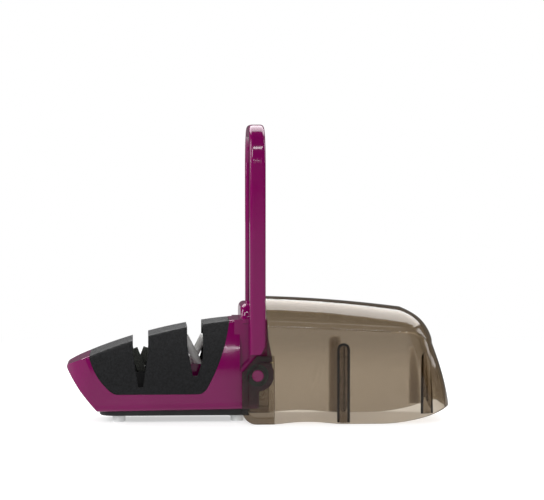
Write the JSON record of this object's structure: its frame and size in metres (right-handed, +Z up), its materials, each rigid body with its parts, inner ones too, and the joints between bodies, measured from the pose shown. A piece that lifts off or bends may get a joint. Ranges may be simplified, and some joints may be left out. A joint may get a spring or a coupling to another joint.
{
  "type": "knife sharpener",
  "caption": "Folding hand-held knife sharpener with coarse and fine V slots, an upright guard loop and a translucent swing-out hood.",
  "frame": {"origin": "middle of the overall length and width, on the surface that the open sharpener stands on", "axes": "+X along the length from the base's tip to the hood's nose, +Y across along the hinge axis, +Z up"},
  "size_m": [0.2094, 0.06, 0.162],
  "materials": {
    "purple_gloss": "high-gloss moulded, mulberry purple",
    "purple_strip": "gloss moulded strip, mulberry purple",
    "purple_pin": "moulded pin, mulberry purple",
    "black_grain": "fine spark-eroded grain, satin",
    "black_sole": "satin",
    "black_holder": "satin",
    "clear_foot": "clear silicone bumper, satin",
    "screw_steel": "zinc plated",
    "nylon_washer": "black nylon",
    "coarse_stone": "rough abrasive grit",
    "white_ceramic": "fine unglazed ceramic",
    "smoke_clear": "clear smoke-grey tint, polished outside"
  },
  "bodies": {
    "base": {"base_shell": "purple_gloss", "slot_insert": "black_grain", "finger_guard": "purple_gloss", "base_sole": "black_sole", "foot_front_near": "clear_foot", "foot_front_far": "clear_foot", "foot_rear_near": "clear_foot", "foot_rear_far": "clear_foot", "base_screws": "screw_steel", "holder_screws": "screw_steel", "stone_carrier": "black_holder", "rod_cradle": "purple_gloss", "coarse_stone_near": "coarse_stone", "coarse_stone_far": "coarse_stone", "ceramic_rod_near": "white_ceramic", "ceramic_rod_far": "white_ceramic", "hinge_pin_near": "purple_pin", "hinge_pin_far": "purple_pin", "inner_washer_near": "nylon_washer", "inner_washer_far": "nylon_washer", "outer_washer_near": "nylon_washer", "outer_washer_far": "nylon_washer"},
    "hood": {"hood_shell": "smoke_clear"},
    "loop": {"guard_loop": "purple_gloss", "loop_inner_strip": "purple_strip"}
  },
  "joints": [
    {"name": "hood_hinge", "type": "hinge", "parent": "base", "child": "hood", "pos_m": [-0.00134, 0, 0.0264], "axis": [0, 1, 0], "range_deg": [0, 172]},
    {"name": "loop_hinge", "type": "hinge", "parent": "hood", "child": "loop", "pos_m": [-0.00134, 0, 0.0264], "axis": [0, 1, 0], "range_deg": [-100, 0]}
  ]
}
